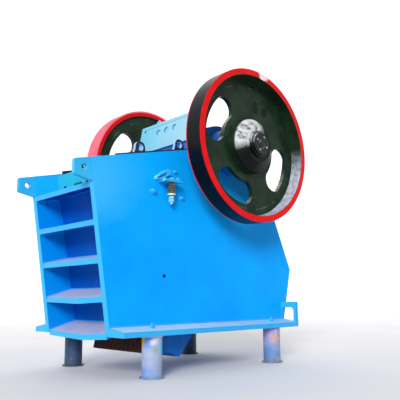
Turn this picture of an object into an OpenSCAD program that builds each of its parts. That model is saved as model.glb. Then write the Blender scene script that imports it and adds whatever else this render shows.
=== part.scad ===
// Jaw crusher with welded side plates, two flywheels and four pipe legs.
// +X is the flywheel side, the front wall faces -Y, and the ground is z = 0.
// Side views are drawn as (y, z) from the front bottom corner of the side plates, flange top at z = 0.

/* [Frame] */
// Width over the two side plates
frame_w = 1380; // [1300:10:1500]
// Thickness of a side plate
plate_t = 80; // [60:5:95]
// Length of the side plates at the base
base_len = 2830; // [2760:10:2900]
// Height of the front top corner of the side plates above the base flange
front_h = 1820; // [1760:10:1900]
// Forward lean of the front edge in degrees
front_lean = 8.5; // [7:0.5:10]
// Height of the rear point of the side plates
rear_point_h = 710; // [650:10:760]
// How far the rear point stands out behind the base
rear_point_out = 190; // [150:10:230]
// Lean of the rear edge above its point in degrees
rear_lean = 24; // [22:0.5:25]

/* [Base flange and legs] */
// Width of the base flange outside the side plate
flange_w = 259; // [240:5:290]
// Thickness of the base flange at its outer edge
flange_t = 57; // [45:1:70]
// How much higher the flange stands at the side plate
flange_rise = 40; // [20:5:50]
// Height of a leg from the ground to the base flange
leg_h = 440; // [400:10:600]
// Outer radius of a leg pipe
leg_r = 109.5; // [95:0.5:115]
// Wall of a leg pipe
leg_wall = 8; // [6:1:12]
// Radius of the disc under a leg
leg_disc_r = 135; // [125:1:150]
// Thickness of the disc under a leg and of the ring on top
leg_disc_t = 14; // [10:1:20]
// Distance of the front legs from the front corner
leg_front_y = 460; // [400:10:560]
// Distance of the rear legs from the front corner
leg_rear_y = 2430; // [2350:10:2500]
// Distance of a leg's centre outside the side plate
leg_out = 120; // [110:5:130]

/* [Front wall] */
// Distance from the front edge back to the wall plate, at the base
bay_depth = 368; // [340:2:390]
// Forward lean of the front wall plate in degrees
wall_lean = 10; // [9:0.25:10.5]
// Height of the front wall plate above the front top corner
wall_over = 40; // [0:5:60]
// Thickness of the front wall plate
wall_t = 50; // [40:5:70]
// Thickness of a front rib
rib_t = 58; // [45:1:70]
// Distance from one front rib to the next
rib_pitch = 404; // [396:1:408]
// Height of the underside of the second lowest rib
rib_four_h = 301; // [290:1:320]
// Downward slope of the upper three ribs towards the front in degrees
rib_slope = 12; // [9:0.5:14]
// Downward slope of the two lowest ribs in degrees
low_rib_slope = 16; // [12:0.5:18]
// How far the lowest rib stands below the base flange
low_rib_drop = 29; // [0:1:40]
// Forward reach of the point on the two lowest ribs
rib_point = 63; // [40:1:90]
// Sideways place of the point on the lower ribs
rib_point_x = 225; // [0:5:300]

/* [Lifting lugs] */
// Thickness of a lifting lug
lug_t = 50; // [40:5:60]
// Reach of a lifting lug in front of the plate
lug_reach = 184; // [160:2:200]
// Height of a lifting lug where it joins the plate
lug_h = 254; // [230:2:280]
// Radius of the hole in a lifting lug
lug_hole_r = 34; // [26:1:38]
// Distance of that hole in front of the plate's top corner
lug_hole_out = 66; // [56:2:80]
// Distance of that hole below the plate's top corner
lug_hole_down = 118; // [104:2:130]

/* [Shaft and bearings] */
// Distance of the shaft axis behind the front corner
shaft_y = 1796; // [1780:2:1820]
// Height of the shaft axis above the base flange
shaft_h = 2210; // [2190:5:2260]
// Radius of the shaft in its bearings
journal_r = 130; // [110:5:140]
// Radius of the eccentric part of the shaft
eccentric_r = 165; // [155:1:172]
// Throw of the eccentric
throw = 16; // [10:1:20]
// Outer radius of a bearing housing
housing_r = 300; // [280:5:320]
// Reach of a bearing housing outside the side plate
housing_out = 170; // [140:5:190]

/* [Flywheels] */
// Radius of the flywheels
wheel_r = 975; // [940:5:985]
// Width of a flywheel rim
rim_w = 240; // [220:5:260]
// Gap between side plate and flywheel
wheel_gap = 282; // [270:2:300]
// Thickness of the rim
rim_t = 78; // [60:2:95]
// Thickness of the web
web_t = 60; // [50:5:75]
// Depth of the web behind the outer face of the rim
web_depth = 150; // [120:5:170]
// Radius of the hub behind the web
hub_r = 235; // [210:5:250]
// Radius of the hub's cone where it starts
cone_r = 340; // [320:5:360]
// Length of the hub between the web and that cone
cone_start = 88; // [70:2:110]
// Radius of the hub's outer face
hub_face_r = 222; // [190:2:240]
// How far the hub stands out past the rim
hub_proud = 23; // [10:1:40]
// Radius of the ring on the hub's face
cap_ring_r = 162; // [150:2:180]
// Thickness of that ring
cap_ring_t = 27; // [16:1:36]
// Radius of the end cap over the shaft
cap_r = 140; // [125:1:148]
// Thickness of the end cap
cap_t = 38; // [20:2:50]
// Radius of the middle of the windows
window_mid_r = 600; // [590:5:610]
// Half of a window's width
window_half_w = 146; // [120:2:150]
// Angle from one window to the next
window_step = 93; // [88:1:94]
// Depth of a belt groove in the drive wheel
groove_depth = 22; // [16:1:26]
// Width of a belt groove at the tread
groove_w = 30; // [24:1:32]
// Number of belt grooves
grooves = 6; // [4:1:7]

/* [Crushing chamber] */
// Thickness of a cheek plate
cheek_t = 40; // [30:2:46]
// Thickness of a jaw die without its teeth
die_t = 60; // [50:5:75]
// Height of the teeth on a jaw die
tooth_h = 30; // [24:2:36]
// Distance from one tooth to the next
tooth_pitch = 84; // [76:2:96]
// Backward lean of the swing jaw face in degrees
jaw_lean = 12; // [11:0.25:13]
// Gap between the dies at the discharge
discharge = 110; // [95:5:130]
// Gap between the swing jaw and a cheek plate
jaw_side_gap = 14; // [8:1:20]
// Radius of the swing jaw's head
head_r = 390; // [360:5:400]

/* [Jaw guard] */
// Width of the guard plate over the jaw's head
guard_w = 1115; // [1060:5:1130]
// Height of the guard plate
guard_h = 410; // [380:10:440]
// Thickness of the guard plate
guard_t = 24; // [16:2:30]
// Sideways place of the lug on the guard plate's top edge
guard_lug_x = -188; // [-260:4:-120]
// Radius of that lug
guard_lug_r = 42; // [36:1:48]

/* [Toggle gear] */
// Thickness of the toggle plate
toggle_t = 70; // [55:5:80]
// Height of the toggle seat on the swing jaw
toggle_jaw_h = 300; // [270:10:330]
// Height of the toggle seat on the rear beam
toggle_beam_h = 420; // [390:10:450]
// Radius of the rounded toggle ends
toggle_end_r = 55; // [45:1:60]
// Distance of the toggle seat behind the swing jaw's face
toggle_jaw_back = 665; // [640:5:680]
// Distance of the rear toggle seat behind the front corner
toggle_beam_y = 2140; // [2100:5:2200]

/* [Cheek bolt gear] */
// Mean radius of the small spring on the side plate
spring_r = 42; // [38:1:46]
// Radius of the wire of the small spring
spring_wire_r = 9; // [7:1:10]
// Height of the small spring
spring_h = 128; // [116:2:140]
// Number of turns of the small spring
spring_turns = 8; // [8:1:10]
// Radius of the cheek bolt
cheek_bolt_r = 17; // [14:1:20]
// Distance of that bolt behind the front corner
bracket_y = 776; // [740:2:800]
// Height of the bracket that holds the bolt
bracket_z = 1660; // [1600:5:1690]
// Reach of the bracket outside the side plate
bracket_out = 140; // [120:2:160]
// Thickness of the bracket plate
bracket_t = 30; // [20:2:36]

/* [Hidden] */
$fn = 64;

// Clearance between pieces that fit into each other
fit = 0.3;

// Frame outline
half_w = frame_w / 2;
inner_x = half_w - plate_t;
lean_tan = tan(front_lean);
front_top_y = -front_h * lean_tan;
rear_point_y = base_len + rear_point_out;
rear_tan = tan(rear_lean);
seat_land = 40;
seat_front_y = shaft_y - housing_r - seat_land;
seat_rear_y = shaft_y + housing_r + seat_land;
rear_top_y = rear_point_y - (shaft_h - rear_point_h) * rear_tan;
top_tan = (shaft_h - front_h) / (seat_front_y - front_top_y);
function front_y(z) = -z * lean_tan;
function plate_top(y) = front_h + (y - front_top_y) * top_tan;

// Placing of the whole machine
base_z = leg_h + flange_t;
lug_tip_y = front_top_y - lug_reach;
mid_y = (lug_tip_y + rear_point_y) / 2;

// Wheels
wheel_in_x = half_w + wheel_gap;
wheel_out_x = wheel_in_x + rim_w;
web_out_x = wheel_out_x - web_depth;
hub_out_x = wheel_out_x + hub_proud;
shaft_end_x = hub_out_x + cap_ring_t;
shaft_end_r = journal_r - 20;

// Chamber
die_half_w = inner_x - cheek_t - jaw_side_gap;
wall_tan = tan(wall_lean);
function wall_y(z) = bay_depth - z * wall_tan;
function wall_back_y(z) = wall_y(z) + wall_t / cos(wall_lean);
die_face_y = bay_depth + (wall_t + die_t + tooth_h) / cos(wall_lean);
jaw_face_y = die_face_y + discharge;
jaw_tan = tan(jaw_lean);
function jaw_y(z) = jaw_face_y + z * jaw_tan;

steel_blue = "#0898f0";
lining_brown = "#4a3530";
wheel_black = "#1c2a22";
ring_red = "#d8141c";
guard_blue = "#8cd2f2";
pipe_grey = "#9fb2cf";
bright_steel = "#a8a8a8";

module place() {
    translate([0, -mid_y, base_z]) children();
}

// Extrudes a side view, drawn as (y, z), from x0 over a width
module slab(x0, w) {
    translate([x0, 0, 0]) rotate([90, 0, 90]) linear_extrude(w) children();
}

// Extrudes a front view, drawn as (x, z), from y0 backwards over a depth
module wall_slab(y0, depth) {
    translate([0, y0 + depth, 0]) rotate([90, 0, 0]) linear_extrude(depth) children();
}

// A cylinder along X
module x_rod(x0, w, r) {
    translate([x0, 0, 0]) rotate([0, 90, 0]) cylinder(h = w, r = r);
}

// Moves to the shaft axis
module at_shaft() {
    translate([0, shaft_y, shaft_h]) children();
}

// Shows a piece on the right or mirrored to the left side
module on_side(left) {
    mirror([left ? 1 : 0, 0, 0]) children();
}

module side_plate() {
    sight_hole_y = 726;
    sight_hole_z = 582;
    slab(inner_x, plate_t) difference() {
        polygon([
            [front_y(-flange_t), -flange_t], [front_top_y, front_h],
            [seat_front_y, shaft_h], [seat_rear_y, shaft_h], [rear_top_y, shaft_h],
            [rear_point_y, rear_point_h], [base_len, -flange_t]
        ]);
        translate([shaft_y, shaft_h]) circle(housing_r + fit);
        translate([sight_hole_y, sight_hole_z]) circle(14);
    }
}
module side_plate_right() { color(steel_blue) place() side_plate(); }
module side_plate_left() { color(steel_blue) place() on_side(true) side_plate(); }

// Front wall plate between the side plates
wall_top_z = front_h + wall_over;
module front_wall() {
    color(steel_blue) place() slab(-inner_x, 2 * inner_x) polygon([
        [wall_y(-flange_t), -flange_t], [wall_y(wall_top_z), wall_top_z],
        [wall_back_y(wall_top_z), wall_top_z], [wall_back_y(-flange_t), -flange_t]
    ]);
}

// Front ribs, numbered from the top
function rib_tan(n) = tan(n < 4 ? rib_slope : low_rib_slope);
function rib_back(y, z, slope) =
    let (back_y = (bay_depth - fit - wall_tan * (z - y * slope)) / (1 + wall_tan * slope))
    [back_y, z + (back_y - y) * slope];
function rib_low(n) = n == 5 ? -flange_t - low_rib_drop : rib_four_h + (4 - n) * rib_pitch;
function rib_reach(n) = n < 3 ? 0 : n == 3 ? 0.35 * rib_point : rib_point;
module front_rib(n) {
    z0 = rib_low(n);
    z1 = z0 + rib_t;
    reach = rib_reach(n);
    slope = rib_tan(n);
    low_front = [front_y(z0) - reach, z0 - reach * slope];
    top_front = [front_y(z1) - reach, z1 - reach * slope];
    intersection() {
        slab(-inner_x, 2 * inner_x) polygon([
            low_front, top_front, rib_back(front_y(z1), z1, slope), rib_back(front_y(z0), z0, slope)
        ]);
        if (reach > 0) {
            translate([0, 0, z0 - bay_depth]) linear_extrude(rib_t + 2 * bay_depth) polygon([
                [-inner_x, front_y(z0)], [rib_point_x, front_y(z0) - reach],
                [inner_x, front_y(z0)], [inner_x, 2 * bay_depth], [-inner_x, 2 * bay_depth]
            ]);
        }
    }
}
module front_rib_1() { color(steel_blue) place() front_rib(1); }
module front_rib_2() { color(steel_blue) place() front_rib(2); }
module front_rib_3() { color(steel_blue) place() front_rib(3); }
module front_rib_4() { color(steel_blue) place() front_rib(4); }
module front_rib_5() { color(steel_blue) place() front_rib(5); }

// Lifting lug in front of a side plate
module lifting_lug() {
    corner = 9;
    low_z = front_h - lug_h;
    tip_top = front_h - lug_reach * top_tan;
    tip_low = low_z + 47;
    low_tan = (tip_low - low_z) / (front_y(low_z) - lug_tip_y);
    slab(half_w - plate_t / 2 - lug_t / 2, lug_t) difference() {
        polygon([
            [front_y(low_z) - fit, low_z], [front_top_y - fit, front_h],
            [lug_tip_y + corner, tip_top + corner * top_tan], [lug_tip_y, tip_top - corner],
            [lug_tip_y, tip_low + corner], [lug_tip_y + corner, tip_low - corner * low_tan]
        ]);
        translate([front_top_y - lug_hole_out, front_h - lug_hole_down]) circle(lug_hole_r);
    }
}
module lifting_lug_right() { color(steel_blue) place() lifting_lug(); }
module lifting_lug_left() { color(steel_blue) place() on_side(true) lifting_lug(); }

// Base flange outside a side plate, with a sloping top
module base_flange() {
    wall_slab(0, base_len) polygon([
        [half_w, -flange_t], [half_w + flange_w, -flange_t],
        [half_w + flange_w, 0], [half_w, flange_rise]
    ]);
}
module base_flange_right() { color(steel_blue) place() base_flange(); }
module base_flange_left() { color(steel_blue) place() on_side(true) base_flange(); }

// Upright gusset at the rear end of the flange, with an arched opening
module rear_gusset() {
    gusset_h = 265;
    gusset_t = 36;
    post_w = 52;
    side_w = 14;
    arch_h = 190;
    arch_r = 45;
    x0 = half_w;
    x1 = half_w + flange_w;
    arch_x = x0 + side_w;
    arch_w = flange_w - post_w - side_w;
    rise = flange_rise / flange_w;
    wall_slab(base_len - gusset_t, gusset_t) difference() {
        polygon([[x0, flange_rise], [x1, 0], [x1, gusset_h], [x0, gusset_h]]);
        translate([arch_x, flange_rise]) square([arch_w, arch_h - arch_r - flange_rise]);
        translate([arch_x + arch_r, flange_rise]) square([arch_w - 2 * arch_r, arch_h - flange_rise]);
        polygon([
            [arch_x, flange_rise], [arch_x, flange_rise - side_w * rise],
            [x1 - post_w, post_w * rise], [x1 - post_w, flange_rise]
        ]);
        for (x = [arch_x + arch_r, x1 - post_w - arch_r]) translate([x, arch_h - arch_r]) circle(arch_r);
    }
}
module rear_gusset_right() { color(steel_blue) place() rear_gusset(); }
module rear_gusset_left() { color(steel_blue) place() on_side(true) rear_gusset(); }

// Rear walls between the side plates
rear_in = 60;
rear_wall_t = 50;
low_tan = rear_point_out / (rear_point_h + flange_t);
function rear_low_y(z) = base_len + (z + flange_t) * low_tan;
function rear_up_y(z) = rear_point_y - (z - rear_point_h) * rear_tan;
module rear_wall_lower() {
    color(steel_blue) place() slab(-inner_x, 2 * inner_x) polygon([
        [rear_low_y(-flange_t) - rear_in, -flange_t], [rear_low_y(rear_point_h) - rear_in, rear_point_h],
        [rear_low_y(rear_point_h) - rear_in - rear_wall_t, rear_point_h],
        [rear_low_y(-flange_t) - rear_in - rear_wall_t, -flange_t]
    ]);
}
rear_wall_top = 1500;
module rear_wall_upper() {
    color(steel_blue) place() slab(-inner_x, 2 * inner_x) polygon([
        [rear_up_y(rear_point_h) - rear_in, rear_point_h],
        [rear_up_y(rear_wall_top) - rear_in, rear_wall_top],
        [rear_up_y(rear_wall_top) - rear_in - rear_wall_t, rear_wall_top],
        [rear_up_y(rear_point_h) - rear_in - rear_wall_t, rear_point_h]
    ]);
}

// Ribs across the rear walls, flush with the rear edge of the side plates
rear_rib_t = 45;
rear_rib_in = rear_in - fit;
function rear_y(z, up) = up ? rear_up_y(z) : rear_low_y(z);
module rear_rib(z, up) {
    z1 = z + rear_rib_t;
    slab(-inner_x, 2 * inner_x) polygon([
        [rear_y(z, up) - rear_rib_in, z], [rear_y(z, up), z],
        [rear_y(z1, up), z1], [rear_y(z1, up) - rear_rib_in, z1]
    ]);
}
module rear_ribs() {
    color(steel_blue) place() {
        rear_rib(rear_point_h / 2, false);
        rear_rib(rear_point_h, true);
        rear_rib(rear_wall_top - rear_rib_t, true);
    }
}

// Toggle gear: seat on the jaw, seat on the beam
toggle_jaw_y = jaw_y(toggle_jaw_h) + toggle_jaw_back;
toggle_seat_depth = 30;
beam_d = 300;
beam_h = 420;
beam_rise = 60;
module toggle_beam() {
    color(steel_blue) place() difference() {
        slab(-inner_x, 2 * inner_x) polygon([
            [toggle_beam_y - toggle_seat_depth, toggle_beam_h - beam_h / 2],
            [toggle_beam_y + beam_d, toggle_beam_h - beam_h / 2 + beam_rise],
            [toggle_beam_y + beam_d, toggle_beam_h + beam_h / 2 + beam_rise],
            [toggle_beam_y - toggle_seat_depth, toggle_beam_h + beam_h / 2]
        ]);
        translate([0, toggle_beam_y, toggle_beam_h]) x_rod(-inner_x - 1, 2 * inner_x + 2, toggle_end_r + fit);
        translate([-inner_x - 1, toggle_beam_y - 2 * toggle_seat_depth, toggle_beam_h - toggle_end_r - fit])
            cube([2 * inner_x + 2, 2 * toggle_seat_depth, 2 * (toggle_end_r + fit)]);
    }
}
toggle_side_gap = 60;
toggle_half_w = die_half_w - toggle_side_gap;
module toggle_plate() {
    color(steel_blue) place() slab(-toggle_half_w, 2 * toggle_half_w) union() {
        translate([toggle_beam_y, toggle_beam_h]) circle(toggle_end_r);
        translate([toggle_jaw_y, toggle_jaw_h]) circle(toggle_end_r);
        dy = toggle_beam_y - toggle_jaw_y;
        dz = toggle_beam_h - toggle_jaw_h;
        translate([toggle_jaw_y, toggle_jaw_h]) rotate(atan2(dz, dy))
            translate([0, -toggle_t / 2]) square([norm([dy, dz]), toggle_t]);
    }
}

// Legs: pipe, ring on top and disc below, and the bolt through the flange
module leg(y) {
    translate([half_w + leg_out, y, -flange_t - leg_h]) {
        cylinder(h = leg_disc_t, r = leg_disc_r);
        translate([0, 0, leg_disc_t]) difference() {
            cylinder(h = leg_h - 2 * leg_disc_t, r = leg_r);
            translate([0, 0, -1]) cylinder(h = leg_h, r = leg_r - leg_wall);
        }
        translate([0, 0, leg_h - leg_disc_t]) cylinder(h = leg_disc_t, r = leg_r + 8);
    }
}
module leg_front_right() { color(pipe_grey) place() leg(leg_front_y); }
module leg_front_left() { color(pipe_grey) place() on_side(true) leg(leg_front_y); }
module leg_rear_right() { color(pipe_grey) place() leg(leg_rear_y); }
module leg_rear_left() { color(pipe_grey) place() on_side(true) leg(leg_rear_y); }

// Bearing housing in the seat of a side plate, with side feet on the lands
module bearing_housing() {
    foot_h = 60;
    cover_t = 26;
    at_shaft() difference() {
        union() {
            x_rod(inner_x, plate_t + housing_out, housing_r);
            x_rod(half_w + housing_out, cover_t, housing_r - 50);
            translate([inner_x, -housing_r - seat_land, 0])
                cube([plate_t, 2 * (housing_r + seat_land), foot_h]);
        }
        x_rod(inner_x - 1, plate_t + housing_out + cover_t + 2, journal_r + fit);
    }
}
module bearing_housing_right() { color(steel_blue) place() bearing_housing(); }
module bearing_housing_left() { color(steel_blue) place() on_side(true) bearing_housing(); }

// Plan view of a toothed jaw die: back at y = 0, teeth towards +y
teeth = floor(2 * die_half_w / tooth_pitch);
tooth_margin = (2 * die_half_w - teeth * tooth_pitch) / 2;
module die_plan() {
    polygon(concat(
        [[-die_half_w, 0], [-die_half_w, die_t]],
        [for (i = [0 : teeth - 1], k = [0 : 3])
            let (x = -die_half_w + tooth_margin + i * tooth_pitch + tooth_pitch * [0.1, 0.4, 0.6, 0.9][k])
            [x, die_t + (k == 1 || k == 2 ? tooth_h : 0)]],
        [[die_half_w, die_t], [die_half_w, 0]]
    ));
}
fixed_die_low = -flange_t + 20;
fixed_die_h = wall_top_z - 20 - fixed_die_low;
module fixed_jaw_die() {
    color(lining_brown) place()
        translate([0, wall_back_y(fixed_die_low) + fit, fixed_die_low])
            rotate([wall_lean, 0, 0]) linear_extrude(fixed_die_h / cos(wall_lean)) die_plan();
}

jaw_die_top = 2120;
die_total = (die_t + tooth_h) / cos(jaw_lean);

// Guard plate line: lower end of its front face, and points along its back face
guard_setback = 90;
guard_low = [jaw_y(jaw_die_top) + die_total + guard_setback, shaft_h + 118];
function guard_back(up) = guard_low
    + (guard_t + fit) * [cos(jaw_lean), -sin(jaw_lean)] + up * [sin(jaw_lean), cos(jaw_lean)];

// Swing jaw: head round the shaft, body down to the toggle seat and the lower end
jaw_low = -344;
jaw_bore_r = eccentric_r + throw + 6;
jaw_front_low = [jaw_y(jaw_low + 60) + die_total, jaw_low + 60];
seat_open = 30;
module toggle_seat() {
    circle(toggle_end_r + fit);
    mouth_r = toggle_end_r + fit;
    mouth_len = 400;
    mouth_end = mouth_r / cos(seat_open) + mouth_len * tan(seat_open);
    polygon([
        mouth_r * [-sin(seat_open), cos(seat_open)], mouth_r * [-sin(seat_open), -cos(seat_open)],
        [mouth_len, -mouth_end], [mouth_len, mouth_end]
    ]);
}
module jaw_profile() {
    toggle_boss = 130;
    difference() {
        union() {
            translate([shaft_y, shaft_h]) circle(head_r);
            polygon([
                jaw_front_low, [jaw_y(jaw_die_top) + die_total, jaw_die_top],
                guard_back(0), guard_back(130),
                [shaft_y - head_r * cos(70), shaft_h + head_r * sin(70)],
                [shaft_y, shaft_h],
                [shaft_y + head_r * cos(20), shaft_h - head_r * sin(20)],
                [toggle_jaw_y + 20, toggle_jaw_h + 4 * toggle_boss],
                [toggle_jaw_y + 20, toggle_jaw_h - toggle_boss],
                [toggle_jaw_y - 90, jaw_low + 222],
                [toggle_jaw_y - 290, jaw_low],
                [toggle_jaw_y - 420, jaw_low + 60]
            ]);
        }
        translate([toggle_jaw_y, toggle_jaw_h]) toggle_seat();
        translate([shaft_y, shaft_h]) circle(jaw_bore_r);
    }
}
guard_fin_t = 18;

// Pockets between the ribs at the back of the swing jaw, drawn as (y, z)
jaw_rib_t = 65;
jaw_pockets = 3;
jaw_shell = 170;
pocket_low = toggle_jaw_h + 300;
pocket_high = shaft_h - head_r - 150;
pocket_w = (2 * die_half_w - (jaw_pockets + 1) * jaw_rib_t) / jaw_pockets;
function jaw_core_y(z) = jaw_y(z) + die_total + jaw_shell;
module jaw_pocket() {
    draft = 60;
    polygon([
        [jaw_core_y(pocket_low), pocket_low], [jaw_core_y(pocket_high), pocket_high],
        [shaft_y + head_r, pocket_high + draft], [shaft_y + head_r, pocket_low - draft]
    ]);
}
module swing_jaw() {
    color(steel_blue) place() union() {
        difference() {
            slab(-die_half_w, 2 * die_half_w) jaw_profile();
            for (i = [0 : jaw_pockets - 1])
                slab(jaw_rib_t - die_half_w + i * (pocket_w + jaw_rib_t), pocket_w) jaw_pocket();
        }
        for (x = [-guard_w * 0.35, 0, guard_w * 0.35]) slab(x - guard_fin_t / 2, guard_fin_t) polygon([
            guard_back(100), guard_back(guard_h * 0.85),
            [shaft_y - 60, shaft_h + head_r - 30], [shaft_y - 260, shaft_h + 60]
        ]);
    }
}
module moving_jaw_die() {
    moving_die_low = jaw_low + 60;
    moving_die_h = (jaw_die_top - moving_die_low) / cos(jaw_lean);
    color(lining_brown) place()
        translate([0, jaw_y(moving_die_low) + die_total - fit, moving_die_low])
            rotate([-jaw_lean, 0, 0]) mirror([0, 1, 0]) linear_extrude(moving_die_h) die_plan();
}

// Guard plate over the front of the jaw's head, with a lug on its top edge
module jaw_guard_plate() {
    lug_up = 8;
    groove_up = guard_h - 52;
    groove_h = 9;
    groove_in = 6;
    pocket_up = guard_h - 146;
    pocket_mid_x = 10;
    pocket_step = 172;
    pocket_r = 37;
    pocket_depth = 12;
    corner_in = 90;
    corner_up = guard_h - 71;
    color(guard_blue) place() translate([0, guard_low[0], guard_low[1]]) rotate([-jaw_lean, 0, 0])
        difference() {
            wall_slab(0, guard_t) difference() {
                union() {
                    translate([-guard_w / 2, 0]) square([guard_w, guard_h]);
                    translate([guard_lug_x, guard_h]) circle(guard_lug_r);
                }
                translate([guard_lug_x, guard_h + lug_up]) circle(16);
                for (x = [-1, 1] * (guard_w / 2 - corner_in)) translate([x, corner_up]) circle(12);
            }
            wall_slab(-1, pocket_depth + 1) for (i = [-1 : 1])
                translate([pocket_mid_x + i * pocket_step, pocket_up]) circle(pocket_r);
            wall_slab(-1, groove_in + 1) translate([-guard_w / 2 + corner_in, groove_up])
                square([guard_w - 2 * corner_in, groove_h]);
        }
}

// Cheek plates with two lifting lugs each
eye_y = [434, 1030];
eye_up = 83;
eye_r = 69;
eye_hole_r = 42;
module cheek_eye(y) {
    translate([0, y, plate_top(y) + eye_up]) {
        x_rod(inner_x - cheek_t, cheek_t, eye_r);
        slab(inner_x - cheek_t, cheek_t) polygon([
            [-eye_r - 20, -eye_up], [eye_r + 20, -eye_up], [eye_r - 5, 0], [5 - eye_r, 0]
        ]);
    }
}
module cheek_plate() {
    over = 100;
    z0 = -flange_t + 60;
    top_out = 30;
    gap = 5;
    y0 = wall_back_y(front_h) + gap;
    y1 = jaw_y(jaw_die_top) + over;
    difference() {
        union() {
            slab(inner_x - cheek_t, cheek_t) polygon([
                [wall_back_y(z0) + gap, z0], [y0, plate_top(y0) + top_out],
                [y1, plate_top(y1) + top_out], [jaw_y(z0) + over, z0]
            ]);
            for (y = eye_y) cheek_eye(y);
        }
        for (y = eye_y) translate([0, y, plate_top(y) + eye_up])
            x_rod(inner_x - cheek_t - 1, cheek_t + 2, eye_hole_r);
    }
}
module cheek_plate_right() { color(lining_brown) place() cheek_plate(); }
module cheek_plate_left() { color(lining_brown) place() on_side(true) cheek_plate(); }

// Spring-loaded bolt on a bracket outside the side plate, under a slanted hook
bracket_front = 150;
bracket_rear = 106;
bolt_x = half_w + bracket_out / 2;
module hook_bar(r, ends) {
    hull() for (p = ends) translate([bracket_y + p[0], bracket_z + p[1]]) circle(r, $fn = 32);
}
module cheek_bracket() {
    hook_out = 100;
    slot_depth = 45;
    difference() {
        union() {
            translate([half_w, bracket_y - bracket_front, bracket_z])
                cube([bracket_out, bracket_front + bracket_rear, bracket_t]);
            slab(half_w, hook_out) hook_bar(34, [[-169, 48], [-64, 116]]);
        }
        slab(half_w + hook_out - slot_depth, slot_depth + 1) hook_bar(13, [[-200, 38], [-90, 96]]);
        translate([bolt_x, bracket_y, bracket_z - 1]) cylinder(h = bracket_t + 2, r = cheek_bolt_r + fit);
    }
}
module cheek_bracket_right() { color(steel_blue) place() cheek_bracket(); }
module cheek_bracket_left() { color(steel_blue) place() on_side(true) cheek_bracket(); }

module cheek_spring() {
    pitch = (spring_h - 2 * spring_wire_r) / (spring_turns - 1);
    translate([bolt_x, bracket_y, bracket_z - spring_h])
        rotate_extrude() for (i = [0 : spring_turns - 1])
            translate([spring_r, spring_wire_r + i * pitch]) circle(spring_wire_r, $fn = 16);
}
module cheek_spring_right() { color(wheel_black) place() cheek_spring(); }
module cheek_spring_left() { color(wheel_black) place() on_side(true) cheek_spring(); }

module cheek_bolt() {
    washer_t = 27;
    nut_t = 70;
    tip = 26;
    head_t = 26;
    low_z = bracket_z - spring_h - washer_t;
    translate([bolt_x, bracket_y, 0]) {
        translate([0, 0, low_z - nut_t - tip])
            cylinder(h = bracket_z + bracket_t - low_z + nut_t + tip, r = cheek_bolt_r);
        translate([0, 0, low_z]) cylinder(h = washer_t, r = spring_r + 6);
        translate([0, 0, low_z - nut_t]) cylinder(h = nut_t, r = 2 * cheek_bolt_r, $fn = 6);
        translate([0, 0, bracket_z + bracket_t]) cylinder(h = head_t, r = 2 * cheek_bolt_r, $fn = 6);
    }
}
module cheek_bolt_right() { color(bright_steel) place() cheek_bolt(); }
module cheek_bolt_left() { color(bright_steel) place() on_side(true) cheek_bolt(); }

// Shaft with journals and the eccentric part inside the jaw's head
module eccentric_shaft() {
    ecc_half = die_half_w - 6;
    color(bright_steel) place() at_shaft() union() {
        x_rod(-shaft_end_x, 2 * shaft_end_x, shaft_end_r);
        x_rod(-wheel_in_x + 30, 2 * wheel_in_x - 60, journal_r);
        translate([0, 0, throw]) x_rod(-ecc_half, 2 * ecc_half, eccentric_r);
    }
}

// Revolves a profile, drawn as (r, x), round the shaft axis
module revolve_x() {
    rotate([0, 90, 0]) rotate_extrude($fn = 128) children();
}

// Bean-shaped window, drawn in the plane of the wheel
module window_outline() {
    half_a = 15;
    reach = 2 * window_mid_r;
    end_r = window_half_w + 8;
    intersection() {
        difference() {
            circle(window_mid_r + window_half_w);
            circle(window_mid_r - window_half_w);
        }
        union() {
            polygon([[0, 0], reach * [cos(half_a), -sin(half_a)], reach * [cos(half_a), sin(half_a)]]);
            for (a = [-half_a, half_a]) rotate(a) translate([window_mid_r, 0]) circle(end_r);
        }
    }
}

// Flywheel casting: rim, recessed web with windows, conical hub and a shallow sector pocket
window_first = 152;
sector_t = 14;
sector_from = 12;
sector_to = 85;
module wheel_body(grooved) {
    bore_r = shaft_end_r + fit;
    hub_in = wheel_in_x - 30;
    root_r = cone_r + 16;
    web_in_x = web_out_x - web_t;
    rim_in_r = wheel_r - rim_t;
    at_shaft() difference() {
        union() {
            revolve_x() polygon(concat(
                [[rim_in_r - 20, web_in_x], [rim_in_r, wheel_in_x], [wheel_r, wheel_in_x]],
                grooved
                ? [for (i = [0 : grooves - 1], k = [0 : 3])
                    let (x = wheel_in_x + rim_w * (i + 0.5) / grooves + groove_w / 2 * [-1, -0.4, 0.4, 1][k])
                    [wheel_r - (k == 1 || k == 2 ? groove_depth : 0), x]]
                : [],
                [[wheel_r, wheel_out_x], [rim_in_r, wheel_out_x], [rim_in_r - 20, web_out_x]]
            ));
            x_rod(web_in_x, web_t, rim_in_r - 10);
            revolve_x() polygon([
                [bore_r / 2, hub_in], [hub_r, hub_in], [hub_r, web_in_x], [root_r, web_in_x],
                [root_r, web_out_x], [cone_r, web_out_x + cone_start],
                [hub_face_r, hub_out_x], [bore_r / 2, hub_out_x]
            ]);
        }
        slab(web_out_x - sector_t, sector_t + 1) intersection() {
            difference() {
                circle(rim_in_r - 40);
                circle(root_r + 20);
            }
            polygon([
                [0, 0], 2 * wheel_r * [cos(sector_from), sin(sector_from)],
                2 * wheel_r * [1, 1], 2 * wheel_r * [cos(sector_to), sin(sector_to)]
            ]);
        }
        for (i = [0 : 2]) slab(web_in_x - 1, web_t + 2)
            rotate(window_first + i * window_step) window_outline();
        x_rod(hub_in - 1, hub_out_x - hub_in + 2, bore_r);
    }
}
module flywheel() { color(wheel_black) place() wheel_body(false); }
module drive_wheel() { color(ring_red) place() on_side(true) wheel_body(true); }

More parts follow.
